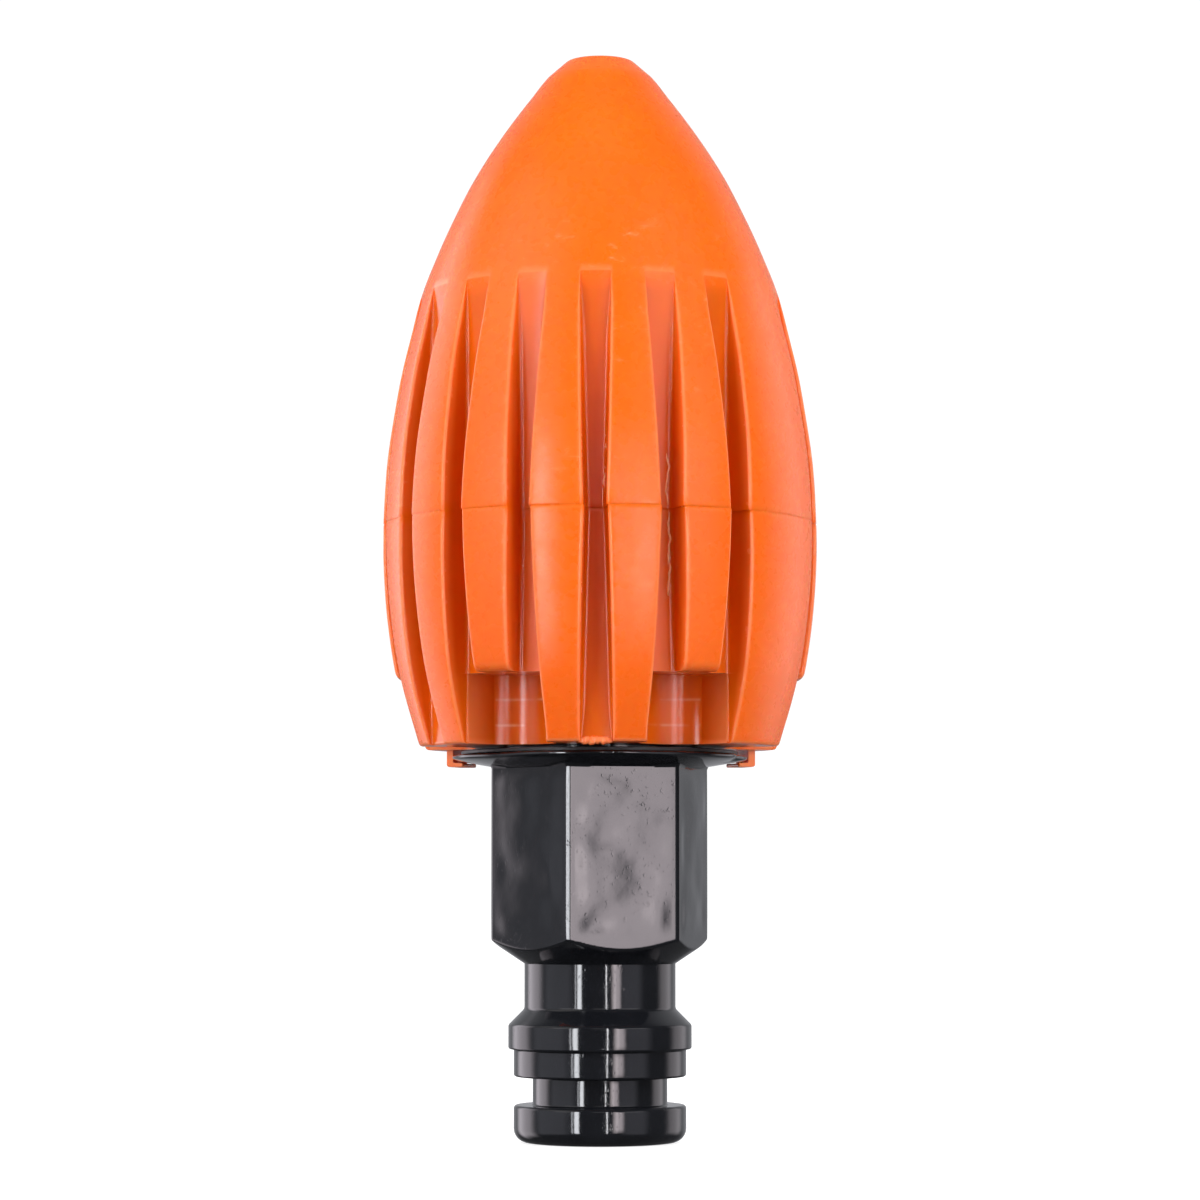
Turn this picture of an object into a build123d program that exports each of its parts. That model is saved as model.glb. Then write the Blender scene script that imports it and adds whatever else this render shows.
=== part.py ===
from build123d import *
import math
import os

# Hose-fed pipe-cleaning rocket nozzle: an orange ogive head of two welded
# shells that turns on a black plug stem for the common garden-hose coupling.
# Frame: millimetres, +Z along the axis towards the nose, origin at the centre
# of the plug's end face. The head's mid plane is the plane X = 0, and the
# angle phi of a feature is counted from -Y towards +X.

# ---- plug, neck and hex ----------------------------------------------------
LAND_R = 7.90          # two sealing lands that slide into the hose coupling
LAND_ROUND = 1.30      # rounding of the leading edge
LAND1_TOP = 3.42
GROOVE_R = 6.17        # empty seal groove between the lands
GROOVE_TOP = 6.00
LAND2_TOP = 8.50
COLLAR_R = 8.41        # latch collar behind the lands
COLLAR_TOP = 10.72
NECK_R = 6.94          # neck where the coupling's latch sits
NECK_BOTTOM = 12.20
NECK_TOP = 16.30
BORE_R = 4.75          # water way through the stem
HEX_AF = 17.80         # hexagon across flats
HEX_ROUND = 0.45       # rounding of its long edges
HEX_TURN = 14.60       # phi of the front flat
HEX_CONE_TOP = 18.68   # where the turned cone leaves the hexagon's corners
HEX_CONE_R = 10.50
HEX_TOP = 34.20

# ---- flange and spigot -----------------------------------------------------
FLANGE_R = 13.65
FLANGE_RIM_Z = 34.85   # underside at the rim, the underside is a shallow cone
FLANGE_TOP = 35.35
SPIGOT_R = 9.00
SPIGOT_TOP = 44.60
SEAL_LOW, SEAL_HIGH = 37.90, 40.30   # spigot seal groove
SEAL_FLOOR_R = 7.50
WASHER_R = 12.75
WASHER_TOP = 35.75

# ---- head ------------------------------------------------------------------
HEAD_BORE_R = 9.06     # running fit on the spigot
BASE_Z = 36.05
SEAM_Z = 56.60         # welded seam at the widest section
TIP_Z = 99.90
TIP_FLAT_R = 2.80
NOZZLE_R = 1.30        # front jet
FLOOR_SEAM_R = 16.95   # groove floor at the seam
FLOOR_END_R = 16.50    # groove floor at the base and at the groove's top
GROOVE_END_Z = 77.70   # where the grooves run out into the nose
RIB_COUNT = 18
GROOVE_HALF_SEAM = 3.05    # half angle of a groove at the seam, degrees
GROOVE_HALF_BASE = 4.96
GROOVE_HALF_NOSE = 4.76
PAD_PHI = (60, 240)    # grooves that are filled, which joins two ribs into a pad

# ---- rear jets -------------------------------------------------------------
JET_PHI = tuple(30 + 60 * k for k in range(6))   # the six short ribs
JET_RING_R = 15.50     # radius of the circle of jets
JET_R = 0.75
POCKET_R = 4.10        # scallop below each short rib
POCKET_TOP = 42.25     # end of the short ribs
DUCT_R = 1.30          # water duct inside each short rib
DUCT_BOTTOM = 44.60

# ---- inside of the head ----------------------------------------------------
CHAMBER_SEAM_R = 14.20
CHAMBER_FLOOR_R = 13.90
CHAMBER_FLOOR_Z = 45.60
LIP_R = 14.12          # locating lip of the nose shell inside the rear shell
LIP_INNER_R = 12.90
LIP_DEPTH = 2.20

# ---- retaining hooks -------------------------------------------------------
HOOK_PHI = (112, 248)
HOOK_IN, HOOK_OUT = 14.30, 15.00
HOOK_FOOT_IN = 12.95
HOOK_HALF_WIDTH = 1.50
HOOK_BOTTOM = 34.00
HOOK_FOOT_TOP = 34.50

# outer profile of the ribs, radius against height
UPPER = [(19.96, SEAM_Z), (19.85, 59.26), (19.55, 62.96), (19.00, 66.65),
         (18.35, 70.35), (17.47, 74.05), (16.50, 77.75), (15.10, 81.40),
         (13.45, 85.10), (11.55, 88.80), (9.20, 92.50), (6.47, 96.20),
         (3.55, 99.50)]
LOWER = [(19.96, SEAM_Z), (19.96, 53.70), (19.78, 50.00), (19.40, 46.30),
         (18.78, 42.60), (17.80, 38.90), (17.00, 36.35)]


def polar(r, phi):
    """Point at radius r and angle phi, counted from -Y towards +X."""
    a = math.radians(phi)
    return (r * math.sin(a), -r * math.cos(a))


# ===================== hose_stem ============================================
with BuildPart() as hose_stem:
    # hexagon with its lower corners turned to a cone
    with BuildSketch(Plane.XY.offset(NECK_TOP)) as hex_sketch:
        RegularPolygon(HEX_AF / 2, 6, major_radius=False, rotation=HEX_TURN - 90 + 30)
    extrude(amount=HEX_TOP + 0.3 - NECK_TOP)
    fillet(hose_stem.edges().filter_by(Axis.Z), HEX_ROUND)
    with BuildSketch(Plane.XZ) as turned:
        with BuildLine():
            Polyline((0, NECK_TOP), (NECK_R, NECK_TOP), (HEX_CONE_R, HEX_CONE_TOP),
                     (HEX_CONE_R, HEX_TOP + 0.3), (0, HEX_TOP + 0.3), close=True)
        make_face()
    revolve(axis=Axis.Z, mode=Mode.INTERSECT)
    # plug, collar and neck
    with BuildSketch(Plane.XZ) as plug:
        with BuildLine():
            Polyline((LAND_R, LAND_ROUND), (LAND_R, LAND1_TOP), (GROOVE_R, LAND1_TOP),
                     (GROOVE_R, GROOVE_TOP), (LAND_R, GROOVE_TOP), (LAND_R, LAND2_TOP),
                     (COLLAR_R, LAND2_TOP), (COLLAR_R, COLLAR_TOP), (NECK_R, NECK_BOTTOM),
                     (NECK_R, NECK_TOP + 0.4), (0, NECK_TOP + 0.4), (0, 0),
                     (LAND_R - LAND_ROUND, 0))
            RadiusArc((LAND_R - LAND_ROUND, 0), (LAND_R, LAND_ROUND), -LAND_ROUND)
        make_face()
    revolve(axis=Axis.Z)
    # flange and spigot
    with BuildSketch(Plane.XZ) as upper:
        with BuildLine():
            Polyline((0, HEX_TOP), (9.2, HEX_TOP), (FLANGE_R, FLANGE_RIM_Z),
                     (FLANGE_R, FLANGE_TOP), (SPIGOT_R, FLANGE_TOP), (SPIGOT_R, SEAL_LOW),
                     (SEAL_FLOOR_R, SEAL_LOW), (SEAL_FLOOR_R, SEAL_HIGH),
                     (SPIGOT_R, SEAL_HIGH), (SPIGOT_R, SPIGOT_TOP - 0.9),
                     (SPIGOT_R - 0.6, SPIGOT_TOP), (0, SPIGOT_TOP), close=True)
        make_face()
    revolve(axis=Axis.Z)
    # water way, slightly opened at both ends
    with BuildSketch(Plane.XZ) as way:
        with BuildLine():
            Polyline((0, -1), (BORE_R + 0.3, -1), (BORE_R + 0.3, 0), (BORE_R, 0.3),
                     (BORE_R, SPIGOT_TOP - 1.4), (BORE_R + 0.9, SPIGOT_TOP),
                     (BORE_R + 0.9, SPIGOT_TOP + 1), (0, SPIGOT_TOP + 1), close=True)
        make_face()
    revolve(axis=Axis.Z, mode=Mode.SUBTRACT)
hose_stem.part.label = "hose_stem"
export_step(hose_stem.part, "parts/hose_stem.step")

# ===================== flange_washer ========================================
with BuildPart() as flange_washer:
    with BuildSketch(Plane.XY.offset(FLANGE_TOP)):
        Circle(WASHER_R)
        Circle(SPIGOT_R + 0.05, mode=Mode.SUBTRACT)
    extrude(amount=WASHER_TOP - FLANGE_TOP)
flange_washer.part.label = "flange_washer"
export_step(flange_washer.part, "parts/flange_washer.step")

# ===================== spigot_o_ring ========================================
# drawn as it sits, pressed between the groove floor and the head's bore
with BuildPart() as spigot_o_ring:
    with BuildSketch(Plane.XZ):
        with Locations(((SEAL_FLOOR_R + HEAD_BORE_R - 0.04) / 2, (SEAL_LOW + SEAL_HIGH) / 2)):
            Ellipse((HEAD_BORE_R - 0.04 - SEAL_FLOOR_R) / 2, 1.02)
    revolve(axis=Axis.Z)
spigot_o_ring.part.label = "spigot_o_ring"
export_step(spigot_o_ring.part, "parts/spigot_o_ring.step")

# ===================== groove cutters =======================================
GROOVE_PHI = [a for a in range(0, 360, 360 // RIB_COUNT) if a not in PAD_PHI]


def groove_wedge(z_a, half_a, z_b, half_b):
    """Outward wedge at phi = 0 whose half angle changes from half_a to half_b."""
    with BuildPart() as wedge:
        for z, half in ((z_a, half_a), (z_b, half_b)):
            with BuildSketch(Plane.XY.offset(z)):
                with BuildLine():
                    Polyline(polar(14.6, -half), polar(22, -half),
                             polar(22, half), polar(14.6, half), close=True)
                make_face()
        loft(ruled=True)
    return wedge.part


def floor_cone(z_low, r_low, z_high, r_high):
    """Solid inside the groove floors."""
    with BuildPart() as cone:
        with BuildSketch(Plane.XZ):
            with BuildLine():
                Polyline((0, z_low), (r_low, z_low), (r_high, z_high), (0, z_high), close=True)
            make_face()
        revolve(axis=Axis.Z)
    return cone.part


base_extra = 1.0
slope_base = (FLOOR_SEAM_R - FLOOR_END_R) / (SEAM_Z - BASE_Z)
half_slope = (GROOVE_HALF_BASE - GROOVE_HALF_SEAM) / (SEAM_Z - BASE_Z)
with BuildPart() as lower_grooves:
    wedge = groove_wedge(SEAM_Z, GROOVE_HALF_SEAM,
                         BASE_Z - base_extra, GROOVE_HALF_BASE + half_slope * base_extra)
    for a in GROOVE_PHI:
        add(wedge.rotate(Axis.Z, a))
    add(floor_cone(BASE_Z - base_extra - 0.5, FLOOR_END_R - slope_base * (base_extra + 0.5),
                   SEAM_Z + 1, FLOOR_SEAM_R + slope_base), mode=Mode.SUBTRACT)

slope_nose = (FLOOR_SEAM_R - FLOOR_END_R) / (GROOVE_END_Z - SEAM_Z)
half_slope = (GROOVE_HALF_NOSE - GROOVE_HALF_SEAM) / (GROOVE_END_Z - SEAM_Z)
with BuildPart() as upper_grooves:
    wedge = groove_wedge(SEAM_Z, GROOVE_HALF_SEAM,
                         GROOVE_END_Z + 2, GROOVE_HALF_NOSE + half_slope * 2)
    for a in GROOVE_PHI:
        add(wedge.rotate(Axis.Z, a))
    add(floor_cone(SEAM_Z - 1, FLOOR_SEAM_R + slope_nose,
                   GROOVE_END_Z + 3, FLOOR_END_R - slope_nose * 3), mode=Mode.SUBTRACT)

# ===================== nose_shell ===========================================
with BuildPart() as nose_shell:
    with BuildSketch(Plane.XZ):
        with BuildLine():
            Spline(UPPER)
            Polyline((3.55, 99.50), (TIP_FLAT_R, TIP_Z), (0, TIP_Z), (0, SEAM_Z),
                     (UPPER[0][0], SEAM_Z))
        make_face()
    revolve(axis=Axis.Z)
    add(upper_grooves.part, mode=Mode.SUBTRACT)
    # locating lip that drops into the rear shell
    with BuildSketch(Plane.XY.offset(SEAM_Z - LIP_DEPTH)):
        Circle(LIP_R)
    extrude(amount=LIP_DEPTH + 0.5)
    # water chamber and front jet
    with BuildSketch(Plane.XZ):
        with BuildLine():
            Polyline((0, SEAM_Z - 5), (LIP_INNER_R, SEAM_Z - 5), (LIP_INNER_R, SEAM_Z + 1.6),
                     (13.70, 60.5), (13.45, 68.0), (12.90, 74.0), (11.70, 79.5),
                     (9.70, 85.0), (7.10, 89.8), (4.40, 93.6), (2.40, 95.6),
                     (NOZZLE_R, 96.6), (NOZZLE_R, TIP_Z + 1), (0, TIP_Z + 1), close=True)
        make_face()
    revolve(axis=Axis.Z, mode=Mode.SUBTRACT)
nose_shell.part.label = "nose_shell"
export_step(nose_shell.part, "parts/nose_shell.step")

# ===================== rear_shell ===========================================
with BuildPart() as rear_shell:
    with BuildSketch(Plane.XZ):
        with BuildLine():
            Spline(LOWER)
            Polyline((17.00, 36.35), (16.60, BASE_Z), (0, BASE_Z), (0, SEAM_Z),
                     (LOWER[0][0], SEAM_Z))
        make_face()
    revolve(axis=Axis.Z)
    add(lower_grooves.part, mode=Mode.SUBTRACT)
    # pockets below the short ribs
    with BuildSketch(Plane.XY.offset(BASE_Z - 1)):
        with Locations(*[polar(JET_RING_R, a) for a in JET_PHI]):
            Circle(POCKET_R)
    extrude(amount=POCKET_TOP - BASE_Z + 1, mode=Mode.SUBTRACT)
    # chamber and bore for the spigot
    with BuildSketch(Plane.XZ):
        with BuildLine():
            Polyline((0, BASE_Z - 1), (HEAD_BORE_R, BASE_Z - 1), (HEAD_BORE_R, CHAMBER_FLOOR_Z - 0.5),
                     (HEAD_BORE_R + 0.5, CHAMBER_FLOOR_Z), (CHAMBER_FLOOR_R - 0.6, CHAMBER_FLOOR_Z),
                     (CHAMBER_FLOOR_R, CHAMBER_FLOOR_Z + 0.6), (CHAMBER_SEAM_R, SEAM_Z - 3),
                     (CHAMBER_SEAM_R, SEAM_Z + 1), (0, SEAM_Z + 1), close=True)
        make_face()
    revolve(axis=Axis.Z, mode=Mode.SUBTRACT)
    # ducts inside the short ribs, open towards the chamber
    for a in JET_PHI:
        with BuildSketch(Plane.XY.offset(DUCT_BOTTOM)):
            with Locations(polar(JET_RING_R, a)):
                Circle(DUCT_R)
        extrude(amount=CHAMBER_FLOOR_Z - DUCT_BOTTOM + 0.2, mode=Mode.SUBTRACT)
        with BuildSketch(Plane.XY.offset(CHAMBER_FLOOR_Z)):
            with Locations(polar(JET_RING_R, a)):
                Circle(DUCT_R)
            with Locations(Location((*polar(JET_RING_R - 1.25, a), 0), (0, 0, 1), a)):
                Rectangle(2 * DUCT_R, 2.5)
        extrude(amount=SEAM_Z - LIP_DEPTH - CHAMBER_FLOOR_Z, mode=Mode.SUBTRACT)
        # jet orifice in the pocket's ceiling
        with BuildSketch(Plane.XY.offset(POCKET_TOP - 0.5)):
            with Locations(polar(JET_RING_R, a)):
                Circle(JET_R)
        extrude(amount=DUCT_BOTTOM - POCKET_TOP + 1, mode=Mode.SUBTRACT)
    # two hooks that hold the stem's flange
    for a in HOOK_PHI:
        with BuildSketch(Plane.XY.offset(HOOK_BOTTOM)):
            with Locations(Location((0, 0, 0), (0, 0, 1), a)):
                with Locations((0, -(HOOK_IN + HOOK_OUT) / 2)):
                    Rectangle(2 * HOOK_HALF_WIDTH, HOOK_OUT - HOOK_IN)
        extrude(amount=BASE_Z - HOOK_BOTTOM + 0.4)
        with BuildSketch(Plane.XY.offset(HOOK_BOTTOM)):
            with Locations(Location((0, 0, 0), (0, 0, 1), a)):
                with Locations((0, -(HOOK_FOOT_IN + HOOK_OUT) / 2)):
                    Rectangle(2 * HOOK_HALF_WIDTH, HOOK_OUT - HOOK_FOOT_IN)
        extrude(amount=HOOK_FOOT_TOP - HOOK_BOTTOM)
rear_shell.part.label = "rear_shell"
export_step(rear_shell.part, "parts/rear_shell.step")

for part in (hose_stem, flange_washer, spigot_o_ring, nose_shell, rear_shell):
    print(part.part.label, len(part.part.solids()), round(part.part.volume, 1), part.part.bounding_box())
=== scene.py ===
import math

import bpy
import numpy as np
from mathutils import Matrix, Vector, kdtree, noise


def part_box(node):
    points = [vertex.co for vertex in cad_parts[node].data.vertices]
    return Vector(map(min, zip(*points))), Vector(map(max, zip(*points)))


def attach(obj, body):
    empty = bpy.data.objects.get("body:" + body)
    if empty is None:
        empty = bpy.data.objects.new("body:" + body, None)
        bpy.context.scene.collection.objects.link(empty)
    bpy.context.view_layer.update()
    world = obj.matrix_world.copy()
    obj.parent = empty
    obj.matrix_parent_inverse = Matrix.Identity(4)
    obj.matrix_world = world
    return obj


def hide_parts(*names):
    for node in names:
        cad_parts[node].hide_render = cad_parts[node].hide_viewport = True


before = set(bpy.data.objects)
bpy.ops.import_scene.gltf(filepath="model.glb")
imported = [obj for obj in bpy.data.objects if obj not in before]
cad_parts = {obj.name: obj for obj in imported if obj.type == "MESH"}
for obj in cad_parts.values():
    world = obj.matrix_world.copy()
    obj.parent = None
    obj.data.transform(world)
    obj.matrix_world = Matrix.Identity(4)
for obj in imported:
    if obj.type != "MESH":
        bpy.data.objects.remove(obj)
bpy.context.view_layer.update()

MM = 0.001
PI = math.pi


# ----------------------------------------------------------------------------
# sizes taken from the frame
# ----------------------------------------------------------------------------
def box_mm(node):
    lo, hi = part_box(node)
    return [v / MM for v in lo], [v / MM for v in hi]


nose_lo, nose_hi = box_mm("nose_shell")
rear_lo, rear_hi = box_mm("rear_shell")
stem_lo, stem_hi = box_mm("hose_stem")
wash_lo, wash_hi = box_mm("flange_washer")

SEAM_Z = rear_hi[2]
TIP_Z = nose_hi[2]
FLANGE_TOP = wash_lo[2]
WASHER_TOP = wash_hi[2]
WASHER_R = wash_hi[0]
FLANGE_R = stem_hi[0]
SPIGOT_TOP = stem_hi[2]
BASE_Z = 36.05

# ----------------------------------------------------------------------------
# small numeric helpers
# ----------------------------------------------------------------------------


def lerp(a, b, t):
    return a + (b - a) * t


def smooth(t):
    t = min(max(t, 0.0), 1.0)
    return t * t * (3 - 2 * t)


def catmull(points, x):
    """Smooth curve y(x) through points sorted by x, with finite-difference tangents."""
    xs = [p[0] for p in points]
    ys = [p[1] for p in points]
    n = len(xs)
    if x <= xs[0]:
        return ys[0]
    if x >= xs[-1]:
        return ys[-1]
    i = max(k for k in range(n - 1) if xs[k] <= x)

    def slope(k):
        if k == 0:
            return (ys[1] - ys[0]) / (xs[1] - xs[0])
        if k == n - 1:
            return (ys[-1] - ys[-2]) / (xs[-1] - xs[-2])
        h0, h1 = xs[k] - xs[k - 1], xs[k + 1] - xs[k]
        d0, d1 = (ys[k] - ys[k - 1]) / h0, (ys[k + 1] - ys[k]) / h1
        return (d0 * h1 + d1 * h0) / (h0 + h1)

    h = xs[i + 1] - xs[i]
    t = (x - xs[i]) / h
    m0, m1 = slope(i) * h, slope(i + 1) * h
    return ((2 * t ** 3 - 3 * t ** 2 + 1) * ys[i] + (t ** 3 - 2 * t ** 2 + t) * m0
            + (-2 * t ** 3 + 3 * t ** 2) * ys[i + 1] + (t ** 3 - t ** 2) * m1)


def polar(r, phi):
    """phi in degrees, counted from -Y towards +X."""
    a = math.radians(phi)
    return (r * math.sin(a), -r * math.cos(a))


def grid_mesh(name, rings, closed_loop=False, cap_start=False, cap_end=False):
    """rings: list of arrays (n, 3) in mm, all with the same n, each closed round."""
    n = len(rings[0])
    m = len(rings)
    co = np.concatenate([np.asarray(r, float) for r in rings]) * MM
    faces = []
    last = m if closed_loop else m - 1
    for i in range(last):
        a, b = i * n, ((i + 1) % m) * n
        for j in range(n):
            k = (j + 1) % n
            faces.append((a + j, a + k, b + k, b + j))
    if cap_start:
        faces.append(tuple(range(n - 1, -1, -1)))
    if cap_end:
        faces.append(tuple((m - 1) * n + j for j in range(n)))
    mesh = bpy.data.meshes.new(name)
    mesh.from_pydata([tuple(c) for c in co], [], faces)
    mesh.validate()
    mesh.update()
    obj = bpy.data.objects.new(name, mesh)
    bpy.context.scene.collection.objects.link(obj)
    return obj


def tidy(obj, sharp_deg=38, merge=1e-7, weighted=True, depth=None):
    """Merges doubles, points the faces outwards, shades smooth with sharp creases."""
    import bmesh
    bm = bmesh.new()
    bm.from_mesh(obj.data)
    bmesh.ops.remove_doubles(bm, verts=bm.verts, dist=merge)
    bmesh.ops.dissolve_degenerate(bm, dist=merge, edges=bm.edges)
    bmesh.ops.recalc_face_normals(bm, faces=bm.faces)
    limit = math.radians(sharp_deg)
    for e in bm.edges:
        if len(e.link_faces) == 2:
            e.smooth = e.calc_face_angle(0) < limit
    for f in bm.faces:
        f.smooth = True
    # edge: how sharp the creases at each point are; the material paints highlights along the sharp edges and makes them
    # glossier
    edge = bm.verts.layers.float.new("edge")
    for v in bm.verts:
        worst = 0.0
        for e in v.link_edges:
            if len(e.link_faces) == 2:
                a = math.degrees(e.calc_face_angle_signed(0))
                worst = max(worst, a)
        v[edge] = smooth((worst - 7) / 12)
    if depth is not None:
        # inner carries the painted groove shade and the groove gloss; thread and pocket carry painted highlights
        inner = bm.verts.layers.float.new("inner")
        thin = bm.verts.layers.float.new("thread")
        pocket = bm.verts.layers.float.new("pocket")
        for v in bm.verts:
            v[inner] = depth(v.co)
            v[thin] = thread_mask(v.co)
            v[pocket] = pocket_mask(v.co)
    bm.to_mesh(obj.data)
    bm.free()
    obj.data.update()
    if weighted:
        mod = obj.modifiers.new("normals", "WEIGHTED_NORMAL")
        mod.keep_sharp = True
        mod.weight = 60
    return obj


def noise3(x, y, z, scale, seed=0.0):
    return noise.noise(Vector((x * scale + seed, y * scale - seed * 0.7, z * scale + seed * 1.3)))


def rounded_profile(points, radii, steps=5):
    """Rounds the corners of an open polyline of (r, z) points. radii has one number per point."""
    out = []
    n = len(points)
    for i, p in enumerate(points):
        rho = radii[i]
        if i in (0, n - 1) or rho <= 0:
            out.append(tuple(p))
            continue
        a = Vector(points[i - 1]) - Vector(p)
        b = Vector(points[i + 1]) - Vector(p)
        la, lb = a.length, b.length
        a.normalize()
        b.normalize()
        ang = a.angle(b)
        if ang > PI - 1e-3:
            out.append(tuple(p))
            continue
        cut = min(rho / math.tan(ang / 2), la * 0.49, lb * 0.49)
        rho_here = cut * math.tan(ang / 2)
        s = Vector(p) + a * cut
        e = Vector(p) + b * cut
        centre = Vector(p) + (a + b).normalized() * (rho_here / math.sin(ang / 2))
        v0, v1 = s - centre, e - centre
        turn = v0.angle_signed(v1)
        for k in range(steps + 1):
            t = k / steps
            v = v0.copy()
            v.rotate(Matrix.Rotation(-turn * t, 2))
            out.append(tuple(centre + v))
    return out


def subdivide_profile(points, longest):
    out = [points[0]]
    for a, b in zip(points, points[1:]):
        d = math.dist(a, b)
        k = max(1, math.ceil(d / longest))
        for i in range(1, k + 1):
            out.append((lerp(a[0], b[0], i / k), lerp(a[1], b[1], i / k)))
    return out


# ----------------------------------------------------------------------------
# the head: shared section
# ----------------------------------------------------------------------------
# outer radius of the fins against height, lower and upper shell
OUTER_LOW = [(36.35, 17.00), (38.90, 17.80), (42.60, 18.78), (46.30, 19.40),
             (50.00, 19.78), (53.70, 19.96), (56.60, 19.96)]
OUTER_UP = [(56.60, 19.96), (59.26, 19.85), (62.96, 19.55), (66.65, 19.00), (70.35, 18.35),
            (74.05, 17.47), (77.75, 16.50), (81.40, 15.10), (85.10, 13.45), (88.80, 11.55),
            (92.50, 9.20), (96.20, 6.47), (98.60, 4.52), (99.45, 3.55)]
FLOOR_SEAM_R, FLOOR_END_R = 16.95, 16.50
GROOVE_END_Z = 77.70
HALF_SEAM, HALF_BASE, HALF_NOSE = 3.05, 4.96, 4.76
PAD_PHI = (60, 240)
JET_PHI = tuple(30 + 60 * k for k in range(6))
JET_RING_R, JET_R = 15.50, 0.75
POCKET_R, POCKET_TOP = 4.10, 42.25
SCALLOP_HALF = 14.1
HEAD_BORE_R = 9.06
EDGE_R = 0.26          # rounding of the fins' outer edges
FILLET_R = 0.38        # fillet at the grooves' floors

N_FLOOR, N_ARC, N_TOP = 9, 5, 7


def corner_arc(p_prev, p, p_next, rho, n):
    """n points of the arc that rounds corner p; positions are (arc length, radius) pairs."""
    a = (p_prev[0] - p[0], p_prev[1] - p[1])
    b = (p_next[0] - p[0], p_next[1] - p[1])
    la, lb = math.hypot(*a), math.hypot(*b)
    if la < 1e-6 or lb < 1e-6 or rho < 1e-6:
        return [p] * n
    a = (a[0] / la, a[1] / la)
    b = (b[0] / lb, b[1] / lb)
    dot = max(-1, min(1, a[0] * b[0] + a[1] * b[1]))
    ang = math.acos(dot)
    if ang > PI - 1e-3:
        return [p] * n
    cut = min(rho / math.tan(ang / 2), la * 0.48, lb * 0.48)
    out = []
    for k in range(n):
        t = k / (n - 1)
        # quadratic blend through the corner, close to a true arc at these angles
        s = (p[0] + a[0] * cut, p[1] + a[1] * cut)
        e = (p[0] + b[0] * cut, p[1] + b[1] * cut)
        w = math.sin(ang / 2)
        c0, c1, c2 = (1 - t) ** 2, 2 * w * t * (1 - t), t * t
        den = c0 + c1 + c2
        out.append(((c0 * s[0] + c1 * p[0] + c2 * e[0]) / den,
                    (c0 * s[1] + c1 * p[1] + c2 * e[1]) / den))
    return out


def half_period(z, half, r_floor, r_out, filled, scallop):
    """Section from the groove's centre (local angle 0) to the fin's centre (local angle 10),
    as (angle, radius) pairs. scallop cuts the pocket into the groove's half."""
    R = 18.0
    k = math.radians(1) * R

    def ang(p):
        return (p[0] / k, p[1])

    depth = r_out - r_floor
    if filled or depth <= 1e-4:
        pts = []
        total = N_FLOOR + N_ARC + 1 + N_ARC + N_TOP
        for i in range(total):
            pts.append((10.0 * i / (total - 1), r_out))
        return pts
    rf = min(FILLET_R, depth * 0.3)
    re = min(EDGE_R, depth * 0.3)
    wall = half
    P0, P1, P2, P3 = (0, r_floor), (wall * k, r_floor), (wall * k, r_out), (10 * k, r_out)
    a1 = corner_arc(P0, P1, P2, rf, N_ARC)
    a2 = corner_arc(P1, P2, P3, re, N_ARC)
    pts = []
    if not scallop:
        for i in range(N_FLOOR):
            t = i / N_FLOOR
            pts.append((lerp(P0[0], a1[0][0], t), P0[1]))
    else:
        # measured from the short fin's centre, the groove's centre is at 10 degrees
        stops = [10.0, 11.2, 12.3, 13.1, 13.6, 13.95, 14.1]
        for s in stops:
            x = math.radians(min(s, SCALLOP_HALF))
            r_in = JET_RING_R * math.cos(x) - math.sqrt(max(POCKET_R ** 2 - (JET_RING_R * math.sin(x)) ** 2, 0))
            pts.append(((s - 10.0) * k, r_in))
        pts.append(((SCALLOP_HALF - 10.0 + 0.02) * k, r_floor - 0.25))
        pts.append(((SCALLOP_HALF - 10.0 + 0.22) * k, r_floor - 0.03))
        a1 = corner_arc(pts[-1], P1, P2, min(rf, 0.12), N_ARC)
    pts += a1
    pts.append(((a1[-1][0] + a2[0][0]) / 2, (a1[-1][1] + a2[0][1]) / 2))
    pts += a2
    for i in range(1, N_TOP + 1):
        t = i / N_TOP
        pts.append((lerp(a2[-1][0], P3[0], t), P3[1]))
    return [ang(p) for p in pts]


def short_half(z, r_out_short):
    """Below the short fin: scallop from the groove's centre (10 degrees off) to the fin's centre."""
    total = N_FLOOR + N_ARC + 1 + N_ARC + N_TOP
    pts = []
    for i in range(total):
        s = 10.0 * (1 - i / (total - 1))
        x = math.radians(s)
        r_in = JET_RING_R * math.cos(x) - math.sqrt(max(POCKET_R ** 2 - (JET_RING_R * math.sin(x)) ** 2, 0))
        pts.append((10.0 - s, r_in))
    return pts


def section(z, r_out, r_floor, half, scallop=False, short_out=None, turn=0.0, floors=True,
            wobble=True, seed=0.0):
    """One ring of the head, going round with phi."""
    pts = []
    for rib in range(18):
        centre = 10 + 20 * rib
        short = centre in JET_PHI
        for side in (-1, 1):
            groove = (centre + side * 10) % 360
            neighbour_short = ((centre + side * 20) % 360) in JET_PHI
            filled = groove in PAD_PHI or not floors
            if scallop and short:
                hp = short_half(z, None)
            else:
                hp = half_period(z, half, r_floor, short_out if (short and short_out) else r_out,
                                 filled, scallop and neighbour_short)
            local = []
            for (d, r) in hp:
                phi = groove - side * d      # from the groove's centre towards the fin
                local.append((phi, r))
            if side == -1:
                # groove centre -> fin centre, phi grows
                pts += [(groove_phi(groove, centre, d), r) for (d, r) in hp][:-1]
            else:
                back = [(groove_phi_r(groove, centre, d), r) for (d, r) in hp]
                back.reverse()
                pts += back[:-1]
    ring = []
    for phi, r in pts:
        p = phi + turn
        if wobble and r > 12:
            x, y = polar(r, p)
            r += 0.028 * noise3(x, y, z, 0.11, seed) + 0.012 * noise3(x, y, z, 0.35, seed + 9)
        x, y = polar(r, p)
        ring.append((x, y, z))
    return np.array(ring)


def groove_phi(groove, centre, d):
    return centre - 10 + d


def groove_phi_r(groove, centre, d):
    return centre + 10 - d


def circle_like(n_template, r, z, phis):
    return np.array([(*polar(r, p), z) for p in phis])


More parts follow.
